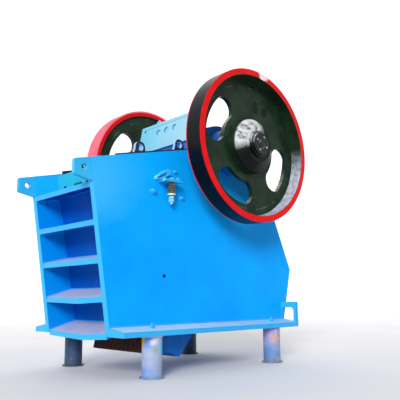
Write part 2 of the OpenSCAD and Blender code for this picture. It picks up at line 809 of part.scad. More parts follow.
// Ring and cap that close a hub and cover the shaft's end
module hub_cap() {
    at_shaft() difference() {
        union() {
            x_rod(hub_out_x, cap_ring_t, cap_ring_r);
            x_rod(shaft_end_x, cap_t, cap_r);
        }
        x_rod(hub_out_x - 1, cap_ring_t + 1, shaft_end_r + fit);
    }
}
module hub_cap_right() { color(bright_steel) place() hub_cap(); }
module hub_cap_left() { color(bright_steel) place() on_side(true) hub_cap(); }

side_plate_right();
side_plate_left();
front_wall();
front_rib_1();
front_rib_2();
front_rib_3();
front_rib_4();
front_rib_5();
lifting_lug_right();
lifting_lug_left();
base_flange_right();
base_flange_left();
rear_gusset_right();
rear_gusset_left();
rear_wall_lower();
rear_wall_upper();
rear_ribs();
toggle_beam();
leg_front_right();
leg_front_left();
leg_rear_right();
leg_rear_left();
bearing_housing_right();
bearing_housing_left();
fixed_jaw_die();
cheek_plate_right();
cheek_plate_left();
cheek_bracket_right();
cheek_bracket_left();
cheek_spring_right();
cheek_spring_left();
cheek_bolt_right();
cheek_bolt_left();
toggle_plate();
swing_jaw();
moving_jaw_die();
jaw_guard_plate();
eccentric_shaft();
flywheel();
drive_wheel();
hub_cap_right();
hub_cap_left();
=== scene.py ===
import math

import bmesh
import bpy
from mathutils import Matrix, Vector


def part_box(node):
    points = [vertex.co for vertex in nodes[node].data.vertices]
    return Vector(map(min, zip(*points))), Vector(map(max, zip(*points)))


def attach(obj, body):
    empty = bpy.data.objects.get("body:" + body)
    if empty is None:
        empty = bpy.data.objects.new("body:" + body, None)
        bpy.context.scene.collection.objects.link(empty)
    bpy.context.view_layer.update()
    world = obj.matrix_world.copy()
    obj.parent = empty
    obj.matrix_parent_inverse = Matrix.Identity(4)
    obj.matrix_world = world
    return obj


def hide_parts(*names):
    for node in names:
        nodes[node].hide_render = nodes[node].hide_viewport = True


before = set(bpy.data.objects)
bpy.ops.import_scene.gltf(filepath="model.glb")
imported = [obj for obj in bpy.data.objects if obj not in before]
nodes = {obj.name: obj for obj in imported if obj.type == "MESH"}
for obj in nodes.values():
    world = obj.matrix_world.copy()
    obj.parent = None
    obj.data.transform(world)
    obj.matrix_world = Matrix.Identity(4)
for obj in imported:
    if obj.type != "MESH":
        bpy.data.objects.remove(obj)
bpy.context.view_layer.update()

# Sizes in millimetres, in the frame of the side drawings: x from the middle of the machine, y from
# the side plates' front bottom corner, z from the top of the base flanges' outer edge
MID_Y = 1282.0  # the scene's origin, under the middle of the part
BASE_Z = 497.0  # height of z = 0 over the ground
SHAFT_Y = 1796.0
SHAFT_Z = 2210.0
PLATE_OUT = 690  # outer and inner faces of the side plates
PLATE_IN = 610
FRONT_LEAN = math.tan(math.radians(8.5))
WALL_LEAN = math.tan(math.radians(10))
WALL_Y = 368  # the front wall's face at z = 0
GUARD_LEAN = math.radians(12)
RIB_T = 58
# The ribs from the top down: height of the lower front edge, slope in degrees
RIBS = ((1513, 12), (1109, 12), (705, 12), (301, 16), (-86, 16))
RIBS_TOP = RIBS[0][0] + RIB_T
BASE_LEN = 2830
FLANGE_RISE = 40  # the flange's slope, from its outer edge up to the side plate
FLANGE_W = 259
LEG_X = 810
LEG_YS = (460, 2430)
SIDES = ((1, "right"), (-1, "left"))


def P(x, y, z):
    """A place in the drawings' frame, in millimetres, as a place in the scene."""
    return Vector((x / 1000, (y - MID_Y) / 1000, (z + BASE_Z) / 1000))


def height(z):
    """A height in the drawings' frame, in millimetres, as a height in the scene."""
    return P(0, 0, z)[2]


def lin(r, g, b):
    """A colour as it is seen, 0 to 255, for a shader's socket."""
    def one(v):
        v /= 255
        return v / 12.92 if v <= 0.04045 else ((v + 0.055) / 1.055) ** 2.4
    return (one(r), one(g), one(b), 1.0)


# Materials. Object coordinates are metres in the scene's frame.

class Graph:
    """A material and short ways to add the nodes behind it."""

    def __init__(self, name, rough, metal=0.0, specular=0.5):
        self.material = bpy.data.materials.new(name)
        self.material.use_nodes = True
        self.tree = self.material.node_tree
        self.shader = self.tree.nodes["Principled BSDF"]
        for socket, value in (("Roughness", rough), ("Metallic", metal),
                              ("Specular IOR Level", specular)):
            self.shader.inputs[socket].default_value = value
        self.coords = self.add("ShaderNodeTexCoord").outputs

    def add(self, kind, inputs=(), **settings):
        node = self.tree.nodes.new(kind)
        for key, value in settings.items():
            setattr(node, key, value)
        for key, value in inputs:
            if isinstance(value, bpy.types.NodeSocket):
                self.tree.links.new(value, node.inputs[key])
            else:
                node.inputs[key].default_value = value
        return node

    def math(self, operation, a, b=0.0):
        return self.add("ShaderNodeMath", ((0, a), (1, b)), operation=operation).outputs[0]

    def vector(self, operation, a, b=(0, 0, 0), output="Vector"):
        node = self.add("ShaderNodeVectorMath", ((0, a), (1, b)), operation=operation)
        return node.outputs[output]

    def times(self, first, *others):
        for other in others:
            first = self.math("MULTIPLY", first, other)
        return first

    def mix(self, factor, a, b):
        node = self.add("ShaderNodeMix", ((0, factor), (6, a), (7, b)), data_type="RGBA")
        return node.outputs[2]

    def span(self, value, low, high, to_low=0.0, to_high=1.0):
        """A value's way from low to high, clamped, as a number from to_low to to_high."""
        node = self.add("ShaderNodeMapRange", (
            ("Value", value), ("From Min", low), ("From Max", high),
            ("To Min", to_low), ("To Max", to_high)))
        return node.outputs["Result"]

    def noise(self, scale, detail=4.0, rough=0.5, stretch=None):
        place = self.coords["Object"]
        if stretch:
            place = self.vector("MULTIPLY", place, stretch)
        node = self.add("ShaderNodeTexNoise", (
            ("Vector", place), ("Scale", scale), ("Detail", detail), ("Roughness", rough)))
        return node.outputs["Fac"]

    def tones(self, base, second, scale, detail, rough=0.5, low=0.36, high=0.64, stretch=None):
        """Two colours in soft clouds."""
        clouds = self.noise(scale, detail, rough, stretch)
        return self.mix(self.span(clouds, low, high), base, second)

    def axis(self, which, source="Object"):
        return self.add("ShaderNodeSeparateXYZ", ((0, self.coords[source]),)).outputs[which]

    def off_axis(self, source="Object"):
        """Distance from the machine's middle plane, or how far the surface faces sideways."""
        return self.math("ABSOLUTE", self.axis("X", source))

    def spot(self, place, radius, soft, ragged=0.0, scale=18.0):
        """1 inside a ragged ball round a place, and 0 outside it."""
        far = self.vector("DISTANCE", self.coords["Object"], place, output="Value")
        if ragged:
            wobble = self.span(self.noise(scale, 6, 0.65), 0.3, 0.7, -ragged, ragged)
            far = self.math("ADD", far, wobble)
        return self.span(far, radius, radius + soft, 1.0, 0.0)

    def facing(self, direction, low, high):
        """1 where the surface faces a direction of the object's own frame, and 0 elsewhere."""
        dot = self.vector("DOT_PRODUCT", self.coords["Normal"], Vector(direction).normalized(),
                          output="Value")
        return self.span(dot, low, high)

    def finish(self, colour, bump=0.0, bump_scale=60.0, edge=0.004, rough=None, detail=3.0):
        """Links the colour and roughness, rounds the edges and adds the bumps."""
        link = self.tree.links.new
        link(colour, self.shader.inputs["Base Color"])
        if rough is not None:
            link(rough, self.shader.inputs["Roughness"])
        normal = self.add("ShaderNodeBevel", (("Radius", edge),), samples=4).outputs["Normal"]
        if bump:
            bumps = self.noise(bump_scale, detail, 0.55)
            normal = self.add("ShaderNodeBump", (
                ("Strength", bump), ("Distance", 0.004), ("Normal", normal),
                ("Height", bumps))).outputs["Normal"]
        link(normal, self.shader.inputs["Normal"])
        return self.material


FRONT, UP, DOWN = (0, -1, 0), (0, 0, 1), (0, 0, -1)
# Painted light on the side plates' inner faces over the bays
PANEL_TINT = lin(22, 176, 240)
PANEL_FROM = (2.04, 2.07)  # heights between which the bays give way to the panel over them
# Painted shade in a hole
HOLE_SHADE = lin(4, 26, 60)
STREAK_TINT = lin(30, 184, 252)
# Pale tint of the tops: settled dust with a painted sheen of the sky
TOP_DUST_AND_SHEEN = lin(198, 200, 230)


def paint(name, base, second, rough=0.42, specular=0.16, bump=0.05, bump_scale=45.0, front=None,
          under=None, inside=None, above=None, across=None, corner=None, grime=None, hole=None,
          rings=(), dust_and_sheen=0.0, top_tint=TOP_DUST_AND_SHEEN, dust_and_sheen_low=None, dust_and_sheen_back=None):
    """Brushed or sprayed paint: soft changes of tone, faint streaks, settled dust with a painted
    sheen on the tops, painted light on the fronts.

    front, under, inside: tints of the faces to the front (painted light), below (painted shade) and
    between the side plates (painted shade, with painted light over the bays)
    above: (height, tint, length of the change); across: (tint, x from, x to)
    corner: (place, radius, softness, tint) for a painted pool of light; rings: (place, radius,
    width, tint) for painted shade
    dust_and_sheen_low, dust_and_sheen_back: how the dust and painted sheen on the tops thin out
    with height, and along the machine
    """
    g = Graph(name, rough, specular=specular)
    colour = g.tones(base, second, 1.4, 5, 0.55)
    streaks = g.span(g.noise(5.0, 6, 0.6, stretch=(1.0, 1.0, 0.12)), 0.56, 0.8, 0.0, 0.12)
    colour = g.mix(streaks, colour, STREAK_TINT)
    if across:
        tint, start, end = across
        colour = g.mix(g.span(g.axis("X"), start, end), colour, tint)
    # Painted light: a paler pool round a place
    if corner:
        place, radius, soft, tint = corner
        colour = g.mix(g.spot(place, radius, soft, ragged=0.06, scale=5.0), colour, tint)
    if above:
        start, tint, length = above
        colour = g.mix(g.span(g.axis("Z"), start, start + length), colour, tint)
    # Painted shade on the faces between the side plates, and painted light on them over the bays
    if inside:
        face = PLATE_IN / 1000
        recess = g.span(g.off_axis(), face + 0.001, face + 0.003, 1.0, 0.0)
        tint = g.mix(g.span(g.axis("Z"), *PANEL_FROM), inside, PANEL_TINT)
        colour = g.mix(recess, colour, tint)
    # Painted light: the faces to the front paler
    if front:
        colour = g.mix(g.facing(FRONT, 0.8, 0.9), colour, front)
    # Painted shade: the faces that look down darker
    if under:
        colour = g.mix(g.facing(DOWN, 0.8, 0.95), colour, under)
    if grime:
        colour = g.mix(g.span(g.noise(3.2, 9, 0.7), 0.52, 0.74, 0.0, 0.55), colour, grime)
    # Painted shade: a dark disc in a hole
    if hole:
        colour = g.mix(g.spot(hole, 0.019, 0.006), colour, HOLE_SHADE)
    # Painted shade: darker rings and discs in recesses and holes
    for place, radius, width, tint in rings:
        disc, middle = g.spot(place, radius, 0.001), g.spot(place, radius - width, 0.002)
        colour = g.mix(g.math("SUBTRACT", disc, middle), colour, tint)
    level = None
    # Settled dust, and a painted sheen, on the faces that look up
    if dust_and_sheen:
        clouds = g.span(g.noise(6.0, 7, 0.62), 0.3, 0.6, 0.72, 1.0)
        amount = g.times(clouds, g.facing(UP, 0.72, 0.93), dust_and_sheen)
        if dust_and_sheen_low:
            amount = g.times(amount, g.span(g.axis("Z"), *dust_and_sheen_low, 1.0, 0.12))
        if dust_and_sheen_back:
            amount = g.times(amount, g.span(g.axis("Y"), *dust_and_sheen_back))
        colour = g.mix(amount, colour, top_tint)
        level = g.span(amount, 0.0, 1.0, rough, 0.85)
    return g.finish(colour, bump, bump_scale, rough=level)


# Frame paint: painted light on the fronts, painted shade on the undersides, settled dust with a
# painted sheen on the tops
azure = paint(
    "azure paint", lin(0, 146, 232), lin(2, 157, 244), dust_and_sheen=0.95, dust_and_sheen_low=(1.42, 1.72),
    front=lin(54, 174, 240), under=lin(0, 58, 160))
# A lighter copy of the azure paint, painted light, with painted light on the fronts
azure_lug = paint(
    "azure paint on the lugs", lin(46, 170, 224), lin(60, 178, 230), front=lin(70, 186, 240))
# Painted light on the fronts; settled dust with a painted sheen on the tops, thinner towards the
# back
azure_flange = paint(
    "azure paint on the flanges", lin(40, 160, 224), lin(52, 168, 230), dust_and_sheen=0.95,
    front=lin(54, 174, 230), top_tint=lin(190, 222, 236), dust_and_sheen_back=(-0.2, 1.4, 1.0, 0.6))
# Painted light on the fronts and as a pale pool at the top front corner; painted shade on the inner
# faces, with painted light on them over the bays; painted shade in a hole; settled dust with a
# painted sheen on the tops
azure_side = paint(
    "azure paint on the side", lin(0, 152, 242), lin(2, 162, 250), dust_and_sheen=0.5, bump=0.04,
    bump_scale=30, specular=0.08, front=lin(60, 180, 244), inside=lin(0, 142, 230),
    above=(1.3, lin(6, 168, 252), 1.5), hole=P(PLATE_OUT, 726, 582),
    corner=(P(PLATE_OUT, -260, 1800), 0.16, 0.6, lin(86, 188, 248)))
# A darker copy of the azure paint, painted shade for the bays, with painted light on the wall over
# the top rib
azure_wall_shaded = paint(
    "azure paint on the wall", lin(0, 88, 184), lin(0, 96, 196), bump=0.08, specular=0.06,
    above=(height(RIBS_TOP), lin(46, 184, 208), 0.02))
azure_cast = paint(
    "azure casting", lin(0, 92, 176), lin(2, 110, 196), dust_and_sheen=0.3, grime=lin(20, 60, 104),
    bump=0.35, bump_scale=80)
guard_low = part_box("jaw_guard_plate")[0]


def on_guard(x, up):
    """A place on the leaning guard plate's face, from its lower edge up, in millimetres."""
    return Vector((x / 1000, guard_low[1] + up / 1000 * math.sin(GUARD_LEAN),
                   guard_low[2] + 0.005 + up / 1000 * math.cos(GUARD_LEAN)))


RECESS_XS, RECESS_UP = (-162, 10, 182), 264
CORNER_XS, CORNER_UP = (-467.5, 467.5), 339
# Painted shade: darker rings on the recesses' walls and dark discs in the corner holes
guard_shade_rings = [(on_guard(x, RECESS_UP), 0.039, 0.009, lin(58, 140, 190)) for x in RECESS_XS]
guard_shade_rings += [(on_guard(x, CORNER_UP), 0.022, 0.03, lin(20, 110, 190)) for x in CORNER_XS]
pale_guard = paint(
    "pale guard paint", lin(104, 194, 226), lin(116, 200, 228), rough=0.34, specular=0.35,
    across=(lin(158, 208, 230), -0.5, 0.45), rings=guard_shade_rings)
# Painted highlights: the fronts and tops paler
pale_bolt = paint(
    "pale bolt paint", lin(12, 150, 230), lin(24, 160, 238), rough=0.36, specular=0.3, dust_and_sheen=0.5,
    bump=0.1, bump_scale=90, front=lin(96, 210, 246), top_tint=lin(120, 220, 246))
# Painted light: the fronts and tops paler
hook_paint = paint(
    "clamp paint", lin(30, 162, 230), lin(60, 184, 240), rough=0.34, specular=0.3, dust_and_sheen=0.9,
    bump=0.1, bump_scale=60, front=lin(120, 218, 246), top_tint=lin(120, 218, 246))

LEG_RING_FROM = (-72, -70)  # heights at the lower edge of the ring round a leg's top


def pipe(name, base, second, patches, floor_dirt=lin(120, 112, 112), ragged=0.05, ring=None):
    """Old pipe paint: tones along the pipe from wear, coloured remains of paint, dirt near the
    ground.

    patches: (place, radius, softness, tint)
    """
    g = Graph(name, 0.5, specular=0.35)
    colour = g.tones(base, second, 5.0, 7, 0.62, high=0.62, stretch=(1.0, 1.0, 0.45))
    for place, radius, soft, tint in patches:
        colour = g.mix(g.spot(place, radius, soft, ragged=ragged), colour, tint)
    scratches = g.span(g.noise(34.0, 6, 0.7, stretch=(1.0, 1.0, 0.2)), 0.6, 0.72, 0.0, 0.45)
    colour = g.mix(scratches, colour, lin(225, 228, 240))
    low = g.times(g.span(g.axis("Z"), 0.02, 0.13, 1.0, 0.0), g.span(g.noise(14.0, 5), 0.35, 0.6))
    colour = g.mix(low, colour, floor_dirt)
    if ring:
        low, high = (height(z) for z in LEG_RING_FROM)
        colour = g.mix(g.span(g.axis("Z"), low, high), colour, ring)
    return g.finish(colour, 0.3, 90, edge=0.003)


pipe_front = pipe("front pipe", lin(142, 158, 190), lin(162, 174, 202), (
    (P(870, 372, -120), 0.04, 0.06, lin(108, 148, 212)),
    (P(825, 352, -477), 0.06, 0.09, lin(110, 154, 222)),
    (P(907, 411, -125), 0.012, 0.04, lin(198, 198, 214)),
    (P(913, 423, -195), 0.02, 0.04, lin(146, 158, 158)),
    (P(776, 356, -95), 0.034, 0.016, lin(232, 172, 44)),
    (P(776, 356, -145), 0.032, 0.016, lin(232, 176, 56)),
    (P(912, 499, -150), 0.018, 0.02, lin(84, 186, 230)),
    (P(912, 499, -210), 0.02, 0.03, lin(84, 186, 230)),
), lin(124, 138, 162), ragged=0.014, ring=lin(204, 212, 224))
pipe_rear = pipe("rear pipe", lin(118, 140, 176), lin(146, 156, 184), (
    (P(850, 2340, -130), 0.10, 0.1, lin(148, 146, 194)),
    (P(905, 2370, -190), 0.03, 0.06, lin(196, 152, 140)),
    (P(840, 2330, -400), 0.08, 0.1, lin(92, 132, 186)),
))
# A darker copy of the pipe paint, painted shade on the leg in shadow
pipe_left_shaded = pipe("left pipe", lin(28, 52, 84), lin(54, 84, 118), (), lin(66, 68, 76))


def lining(name):
    """Rough cast manganese steel, brown."""
    g = Graph(name, 0.62, metal=0.2, specular=0.4)
    colour = g.tones(lin(84, 40, 32), lin(58, 30, 28), 7.0, 8, 0.65, high=0.62)
    colour = g.mix(g.span(g.noise(26.0, 5, 0.6), 0.58, 0.72, 0.0, 0.6), colour, lin(122, 84, 66))
    return g.finish(colour, 0.7, 70, edge=0.006, detail=6)


def cheek_steel(name):
    """Dark plate whose upper cut edges are pale with a painted highlight."""
    g = Graph(name, 0.45, specular=0.4)
    colour = g.tones(lin(16, 26, 58), lin(30, 44, 84), 6.0, 6, 0.6, high=0.62)
    # Painted highlight: the upper faces that do not look sideways pale
    cut = g.span(g.off_axis("Normal"), 0.5, 0.9, 1.0, 0.0)
    edge = g.times(cut, g.span(g.axis("Z"), 2.42, 2.5))
    colour = g.mix(edge, colour, lin(156, 196, 240))
    return g.finish(colour, 0.3, 70)


def metal(name, base, second, rough=0.3, bump=0.08, bump_scale=160.0, metallic=0.9):
    """Bare or thinly painted steel of uneven gloss."""
    g = Graph(name, rough, metal=metallic)
    colour = g.tones(base, second, 14.0, 5, 0.6, 0.35, 0.65)
    level = g.span(g.noise(30.0, 4), 0.3, 0.7, rough * 0.8, rough * 1.5)
    return g.finish(colour, bump, bump_scale, edge=0.0015, rough=level)


steel = metal("turned steel", lin(176, 178, 182), lin(140, 142, 148))
bright = metal("bright bolt", lin(206, 208, 210), lin(160, 164, 168), rough=0.22)
dark_steel = metal("dark cap", lin(12, 16, 12), lin(22, 26, 22), rough=0.26, metallic=0.0,
                   bump=0.12, bump_scale=70)
spring_steel = metal("spring steel", lin(92, 92, 84), lin(124, 122, 110), rough=0.34,
                     metallic=0.1, bump=0.03)

# Bands of the cheek bolt: lower and upper height in the drawings' frame, and tint
BOLT_BANDS = (
    (1509, 1533, lin(196, 214, 168)),  # washer under the spring
    (1503, 1509, lin(10, 50, 84)),     # gap between washer and nut, dark with painted shade
    (1466, 1471, lin(14, 70, 116)),    # gap between the nuts, dark with painted shade
    (1400, 1434, lin(160, 204, 232)),  # tip
    (1533, 1692, lin(10, 11, 12)),     # rod inside the spring, dark with painted shade
)


def bolt_gear(name):
    """The cheek bolt: pale nuts, a yellowish washer, a rod dark with painted shade, painted shade
    in the gaps, and a pale tip.
    """
    g = Graph(name, 0.4, specular=0.4)
    up = g.axis("Z")
    colour = g.tones(lin(112, 196, 246), lin(150, 214, 250), 30.0, 5, low=0.35, high=0.65)
    for low, high, tint in BOLT_BANDS:
        low, high = height(low), height(high)
        inside = g.times(g.span(up, low - 0.001, low + 0.001),
                         g.span(up, high - 0.001, high + 0.001, 1.0, 0.0))
        colour = g.mix(inside, colour, tint)
    return g.finish(colour, 0.2, 120, edge=0.002)


# The wheels' zones, in metres: radii from the shaft, and distances from the middle plane
TREAD_R = 0.95
RED_IN_R = 0.899
RIM_WALL_R = 0.78
# Radii of a painted highlight circle on the web
EDGE_HIGHLIGHT_RS = (0.792, 0.804)
WINDOW_RS = (0.43, 0.77)
HUB_RS = (0.168, 0.343)
HUB_SHADE_RS = (0.1, 0.345)
RED_OUT_FROM = (1.206, 1.207)
RED_BACK_TO = (0.984, 0.986)
# Dark patches on the flywheel's web: place in the drawings' frame, radius in metres
WEB_PATCHES = (((1062, 1960, 2800), 0.04), ((1062, 1955, 2735), 0.036), ((1062, 2130, 2740), 0.05))
DUST_AND_HIGHLIGHT_WAY = (0, 0.669, -0.743)  # from the shaft to where dust and a painted highlight lie inside the rim
HUB_REFLECTION_WAY = (0, -0.6, 0.8)       # from the shaft to the hub's painted reflection


def wheel(name, striped):
    """A painted wheel casting: dark glossy web, dust and a painted highlight in the rim, painted
    shade and a painted reflection on the hub, red rings or red rim.
    """
    g = Graph(name, 0.28, specular=0.14)
    flat = g.vector("SUBTRACT", g.coords["Object"], P(0, SHAFT_Y, SHAFT_Z))
    flat = g.vector("MULTIPLY", flat, (0, 1, 1))
    radius = g.vector("LENGTH", flat, output="Value")
    wobble = g.span(g.noise(9.0, 3), 0.3, 0.7, -0.003, 0.003)
    wall = g.span(g.off_axis("Normal"), 0.3, 0.6, 1.0, 0.0)

    def between(low, high, soft=0.003):
        return g.times(g.span(radius, low, low + soft), g.span(radius, high - soft, high, 1.0, 0.0))

    def towards(direction):
        """Cosine of the angle round the shaft from a direction."""
        along = g.vector("DOT_PRODUCT", flat, direction, output="Value")
        return g.math("DIVIDE", along, radius)

    # Web: tones, dark clouds, pale specks of dust and painted glints, dark patches and a painted
    # highlight circle
    colour = g.tones(lin(12, 30, 16), lin(34, 56, 38), 3.0, 7, 0.62, 0.34, 0.66)
    colour = g.mix(g.span(g.noise(7.0, 4, 0.5), 0.6, 0.68, 0.0, 0.6), colour, lin(6, 14, 8))
    # Pale specks: dust, and painted glints
    specks_and_glints = g.times(g.span(g.noise(38.0, 8, 0.75), 0.62, 0.7, 0.0, 0.7),
                     g.span(g.noise(2.6, 3), 0.45, 0.6))
    colour = g.mix(specks_and_glints, colour, lin(116, 134, 120))
    for place, size in WEB_PATCHES:
        colour = g.mix(g.spot(P(*place), size, 0.03, ragged=0.02), colour, lin(4, 8, 6))
    # Painted highlight: a pale circle on the web
    edge_highlight = g.times(between(*EDGE_HIGHLIGHT_RS, 0.005), g.span(g.noise(6.0, 6, 0.7), 0.5, 0.62, 0.0, 0.7))
    colour = g.mix(edge_highlight, colour, lin(120, 134, 124))

    # Dust on the windows' lower walls, and dust with a painted highlight inside the rim
    sills = g.times(between(*WINDOW_RS), wall, g.facing((0, -0.2, 0.98), 0.4, 0.75),
                    g.span(g.noise(16.0, 6, 0.65), 0.35, 0.6, 0.15, 0.85))
    colour = g.mix(sills, colour, lin(176, 170, 160))
    # Painted highlight and dust on the rim's inner face at the lower rear
    dust_and_highlight = g.times(between(RIM_WALL_R, RED_IN_R + 0.004), wall,
                    g.span(towards(DUST_AND_HIGHLIGHT_WAY), 0.58, 0.88),
                    g.span(g.noise(13.0, 9, 0.72), 0.34, 0.56, 0.25, 0.98))
    colour = g.mix(dust_and_highlight, colour, lin(190, 194, 210))

    # Hub: painted shade below, a painted silver reflection above
    around = towards(HUB_REFLECTION_WAY)
    hub_shade = g.times(between(*HUB_SHADE_RS), g.span(around, 0.1, 0.55, 1.0, 0.0))
    colour = g.mix(hub_shade, colour, lin(6, 11, 7))
    hub = g.times(between(*HUB_RS, 0.006), g.span(around, 0.3, 0.62),
                  g.span(g.noise(11.0, 8, 0.7), 0.38, 0.52, 0.12, 1.0))
    colour = g.mix(hub, colour, lin(206, 209, 212))

    # Red paint: two rings beside a black tread, or the whole rim, its tread paler with a painted
    # sheen
    on_tread = g.span(radius, TREAD_R, TREAD_R + 0.005)
    ring = g.span(g.math("ADD", radius, wobble), RED_IN_R, RED_IN_R + 0.002)
    red = g.tones(lin(206, 2, 8), lin(220, 7, 14), 6.0, 6, 0.6)
    if striped:
        colour = g.mix(on_tread, colour, lin(7, 8, 11))
        out = g.math("ADD", g.off_axis(), wobble)
        rings = g.math("MAXIMUM", g.span(out, *RED_OUT_FROM), g.span(out, *RED_BACK_TO, 1.0, 0.0))
        ring = g.times(ring, rings)
        # Painted reflection: a pale patch on the red ring at the top
        painted_glint = g.spot(P(1212, 1950, 3142), 0.06, 0.02, ragged=0.045, scale=30)
        red = g.mix(painted_glint, red, lin(232, 214, 214))
    else:
        # Painted sheen: the drive wheel's tread paler
        pale = g.times(on_tread, g.span(g.noise(5.0, 6), 0.3, 0.7, 0.6, 1.0))
        red = g.mix(pale, red, lin(244, 128, 148))
    colour = g.mix(ring, colour, red)
    level = g.span(g.math("MAXIMUM", dust_and_highlight, hub), 0.0, 1.0, 0.28, 0.7)
    return g.finish(colour, 0.34, 18, edge=0.005, rough=level, detail=7)


def cap_steel(name):
    """Dark greasy cap with a painted highlight on its upper edges."""
    g = Graph(name, 0.3, specular=0.3)
    colour = g.tones(lin(6, 10, 6), lin(18, 24, 18), 14.0, 5, 0.6, 0.35, 0.65)
    # Painted highlight: faces that look up and to the front bright
    painted_highlight = g.times(g.facing((0, -0.5, 0.87), 0.45, 0.8),
                     g.span(g.noise(22.0, 6, 0.65), 0.36, 0.54, 0.1, 1.0))
    colour = g.mix(painted_highlight, colour, lin(206, 210, 212))
    return g.finish(colour, 0.12, 70, edge=0.002)


def plain(name, base, second, rough):
    """Floor or backdrop, all but one colour."""
    g = Graph(name, rough, specular=0.2)
    return g.finish(g.tones(base, second, 0.5, 3, low=0.3, high=0.7), 0.02, 12)


cap_paint = cap_steel("cap steel")
fly_paint = wheel("flywheel paint", True)
drive_paint = wheel("drive wheel paint", False)
lining_steel = lining("lining steel")
cheek_paint = cheek_steel("cheek plate steel")
cheek_bolt_paint = bolt_gear("cheek bolt paint")
floor_mat = plain("studio floor", lin(232, 230, 230), lin(238, 236, 236), 0.75)
wall_mat = plain("studio backdrop", lin(240, 241, 243), lin(244, 245, 247), 0.9)

# The first start that fits a node's name gives its finish
finishes = (
    ("leg_front_right", pipe_front), ("leg_rear_right", pipe_rear), ("leg_", pipe_left_shaded),
    ("fixed_jaw_die", lining_steel), ("moving_jaw_die", lining_steel),
    ("cheek_plate", cheek_paint), ("cheek_spring", spring_steel),
    ("cheek_bolt", cheek_bolt_paint), ("cheek_bracket", hook_paint),
    ("flywheel", fly_paint), ("drive_wheel", drive_paint), ("hub_cap", cap_paint),
    ("eccentric_shaft", steel), ("jaw_guard_plate", pale_guard), ("lifting_lug", azure_lug),
    ("base_flange", azure_flange), ("swing_jaw", azure_cast), ("toggle", azure_cast),
    ("bearing_housing", azure_cast), ("front_wall", azure_wall_shaded), ("side_plate", azure_side),
    ("", azure),
)
for name, node in nodes.items():
    finish = next(material for start, material in finishes if name.startswith(start))
    for slot in node.material_slots:
        slot.material = finish


# Small pieces, with sizes in millimetres

def piece(name, bm, mat, body, angle=35):
    """Makes an object of a bmesh, with edges sharp from an angle on, and puts it on a body."""
    bmesh.ops.recalc_face_normals(bm, faces=bm.faces)
    me = bpy.data.meshes.new(name)
    bm.to_mesh(me)
    bm.free()
    me.shade_smooth()
    me.set_sharp_from_angle(angle=math.radians(angle))
    me.materials.append(mat)
    o = bpy.data.objects.new(name, me)
    bpy.context.scene.collection.objects.link(o)
    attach(o, body)
    return o


def skin(bm, loops):
    """Faces between closed loops of as many points each, and over both ends."""
    count = len(loops[0])
    for near, far in zip(loops, loops[1:]):
        for k in range(count):
            j = (k + 1) % count
            bm.faces.new((near[k], near[j], far[j], far[k]))
    bm.faces.new(loops[0][::-1])
    bm.faces.new(loops[-1])


def turned(bm, place, profile, sides, turn=0.0):
    """A closed form of rings of points at (radius, height)."""
    loops = []
    for r, h in profile:
        angles = [turn + 2 * math.pi * k / sides for k in range(sides)]
        loops.append([bm.verts.new(place @ Vector((r * math.cos(a), r * math.sin(a), h)))
                      for a in angles])
    skin(bm, loops)


def bolt(bm, at, axis, r, head, washer=0.0, stud=0.0, turn=0.3):
    """Hexagon head of radius r with its chamfer, a washer under it and a stud past it."""
    turn_to = Vector(axis).normalized().to_track_quat("Z", "Y").to_matrix().to_4x4()
    place = Matrix.Translation(at) @ turn_to @ Matrix.Scale(0.001, 4)
    h = -1.0
    washer_t = 0.22 * r
    chamfer = 0.16 * r
    if washer:
        turned(bm, place, ((washer - 1, h), (washer, h), (washer, washer_t),
                           (washer - 1.5, washer_t + 1.5)), 28)
        h = washer_t
    turned(bm, place, ((r, h), (r, h + head - chamfer), (r - 1.6 * chamfer, h + head)), 6, turn)
    if stud:
        turned(bm, place, ((0.52 * r, h), (0.52 * r, h + stud - chamfer), (0.4 * r, h + stud)), 16)


def bead(bm, a, b, n1, n2, size, hollow=False):
    """A weld bead, or a smooth hollow fillet, from a to b in the corner of two faces."""
    n1, n2 = Vector(n1).normalized(), Vector(n2).normalized()
    along = b - a
    ripple = 0.009
    steps = 1 if hollow else max(2, round(along.length / ripple))
    loops = []
    for i in range(steps + 1):
        base = a + along * (i / steps)
        s = size / 1000 * (1.0 if hollow else 1.0 - 0.16 * (i % 2) + 0.05 * math.sin(1.7 * i))
        points = [base - (n1 + n2) * 0.001]
        for k in range(5):
            t = k * math.pi / 8
            if hollow:
                points.append(base + s * ((1 - math.sin(t)) * n1 + (1 - math.cos(t)) * n2))
            else:
                swell = s * (1 - 0.16 * math.sin(2 * t))
                points.append(base + swell * (math.cos(t) * n1 + math.sin(t) * n2))
        loops.append([bm.verts.new(p) for p in points])
    skin(bm, loops)


def on_wall(x, z):
    """A place on the front wall's face."""
    return P(x, WALL_Y - WALL_LEAN * z, z)


def on_front(x, z):
    """A place on the side plates' leaning front edge."""
    return P(x, -z * FRONT_LEAN, z)


wall_normal = (0, -1, -WALL_LEAN)
front_normal = (0, -1, -FRONT_LEAN)
PANEL_WELD = (1660, 1858)  # heights of the ends of upright welds
LUG_WELD = (1568, 1818)
GUSSET_WELD = (42, 265)
GUSSET_Y = 2794
LUG_FACES = ((675, 1), (625, -1))  # x, and the way that the face looks
BRACKET_FACES = ((1660, -1), (1690, 1))  # z, and the way that the face looks
BRACKET_YS = (628, 880)

